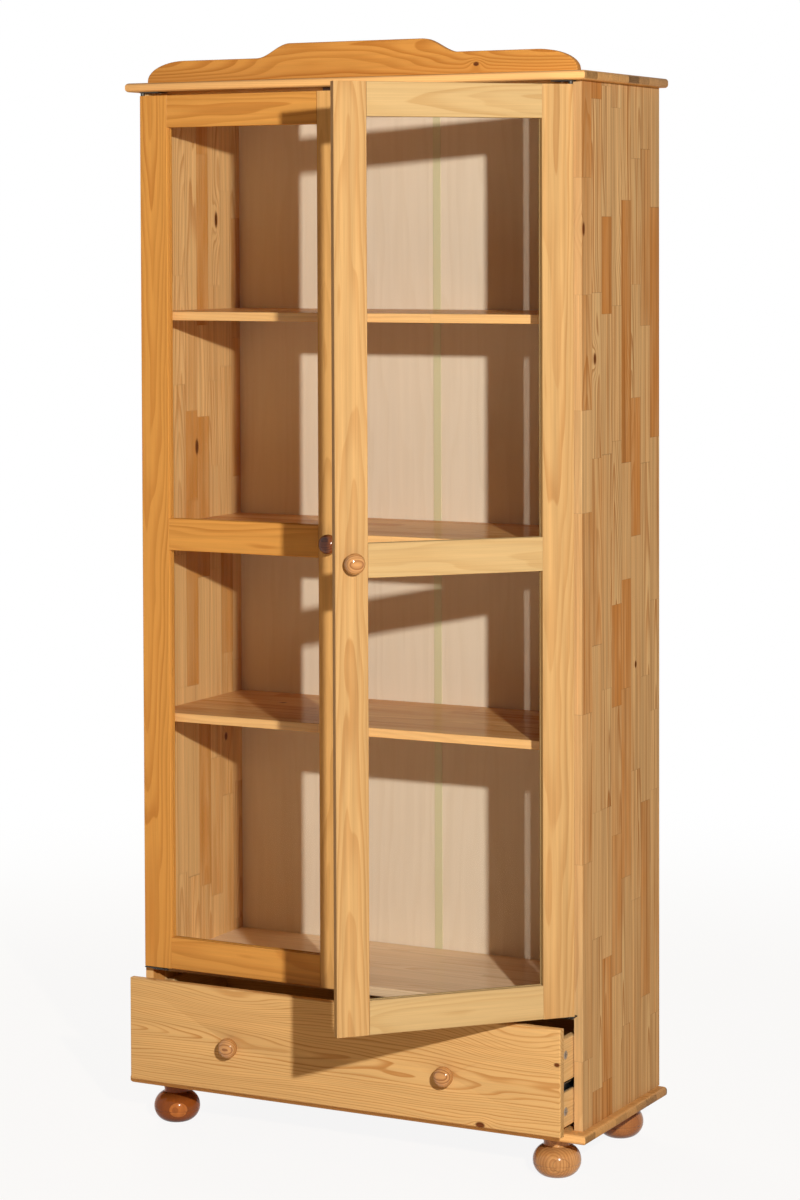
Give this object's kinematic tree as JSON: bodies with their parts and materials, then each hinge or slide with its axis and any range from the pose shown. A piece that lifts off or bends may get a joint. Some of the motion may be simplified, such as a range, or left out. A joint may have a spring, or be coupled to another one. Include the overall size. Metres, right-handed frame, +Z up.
{
  "type": "glazed display cabinet",
  "caption": "Freestanding pine display cabinet: framed glass doors on corner pivots, shelves, a full-width drawer on metal runners, a shaped crest board and turned feet.",
  "frame": {"origin": "on the floor, under the centre of the bounding box in the rest pose, with the right door ajar and the drawer a little out", "axes": "+Z up, the front faces -Y, +X to the viewer's right of the front"},
  "size_m": [0.9, 0.66, 1.9335],
  "materials": {
    "clear_glass": "clear float glass",
    "pale_board": "plain lacquered plywood",
    "green_strip": "satin",
    "bright_steel": "bright zinc",
    "screw_steel": "zinc",
    "runner_steel": "dark zinc",
    "brown_plastic": "matt",
    "turned_pine": "gloss lacquer",
    "bare_wood": "bare",
    "lamella_pine": "satin lacquer",
    "drawer_pine": "satin lacquer",
    "lacquered_pine": "satin lacquer"
  },
  "bodies": {
    "cabinet": {"side_panel_left": "lamella_pine", "side_panel_right": "lamella_pine", "top_board": "lacquered_pine", "base_board": "lacquered_pine", "crest_board": "lacquered_pine", "floor_board": "lamella_pine", "shelf_lower": "lamella_pine", "shelf_middle": "lamella_pine", "shelf_upper": "lamella_pine", "back_panel_left": "pale_board", "back_panel_right": "pale_board", "back_joint_strip": "green_strip", "back_nails": "bright_steel", "shelf_pins": "bright_steel", "carcass_dowels": "bare_wood", "foot_front_left": "turned_pine", "foot_front_right": "turned_pine", "foot_rear_left": "turned_pine", "foot_rear_right": "turned_pine", "foot_dowels": "bare_wood", "door_magnets": "brown_plastic", "pivot_brackets": "bright_steel", "cabinet_rails": "runner_steel", "cabinet_screws": "screw_steel"},
    "left_door": {"left_hinge_stile": "lacquered_pine", "left_free_stile": "lacquered_pine", "left_top_rail": "lacquered_pine", "left_middle_rail": "lacquered_pine", "left_bottom_rail": "lacquered_pine", "left_upper_glass": "clear_glass", "left_lower_glass": "clear_glass", "left_glass_beads": "bare_wood", "left_door_knob": "turned_pine", "left_door_screws": "screw_steel", "left_strike_plate": "bright_steel", "left_pivot_plates": "bright_steel"},
    "right_door": {"right_hinge_stile": "lacquered_pine", "right_free_stile": "lacquered_pine", "right_top_rail": "lacquered_pine", "right_middle_rail": "lacquered_pine", "right_bottom_rail": "lacquered_pine", "right_upper_glass": "clear_glass", "right_lower_glass": "clear_glass", "right_glass_beads": "bare_wood", "right_door_knob": "turned_pine", "right_door_screws": "screw_steel", "right_strike_plate": "bright_steel", "right_pivot_plates": "bright_steel"},
    "drawer": {"drawer_front": "drawer_pine", "drawer_side_left": "drawer_pine", "drawer_side_right": "drawer_pine", "drawer_back": "drawer_pine", "drawer_bottom": "pale_board", "drawer_knob_left": "turned_pine", "drawer_knob_right": "turned_pine", "drawer_screws": "screw_steel", "drawer_cams": "bright_steel", "drawer_cam_bolts": "screw_steel", "drawer_rails": "runner_steel"}
  },
  "joints": [
    {"name": "left_door_hinge", "type": "hinge", "parent": "cabinet", "child": "left_door", "pos_m": [-0.4195, -0.01602, 1.064], "axis": [0, 0, -1], "range_deg": [-1, 109]},
    {"name": "right_door_hinge", "type": "hinge", "parent": "cabinet", "child": "right_door", "pos_m": [0.4195, -0.01602, 1.064], "axis": [0, 0, 1], "range_deg": [-47, 63]},
    {"name": "drawer_slide", "type": "slide", "parent": "cabinet", "child": "drawer", "axis": [0, -1, 0], "range_m": [-0.051, 0.139]}
  ]
}
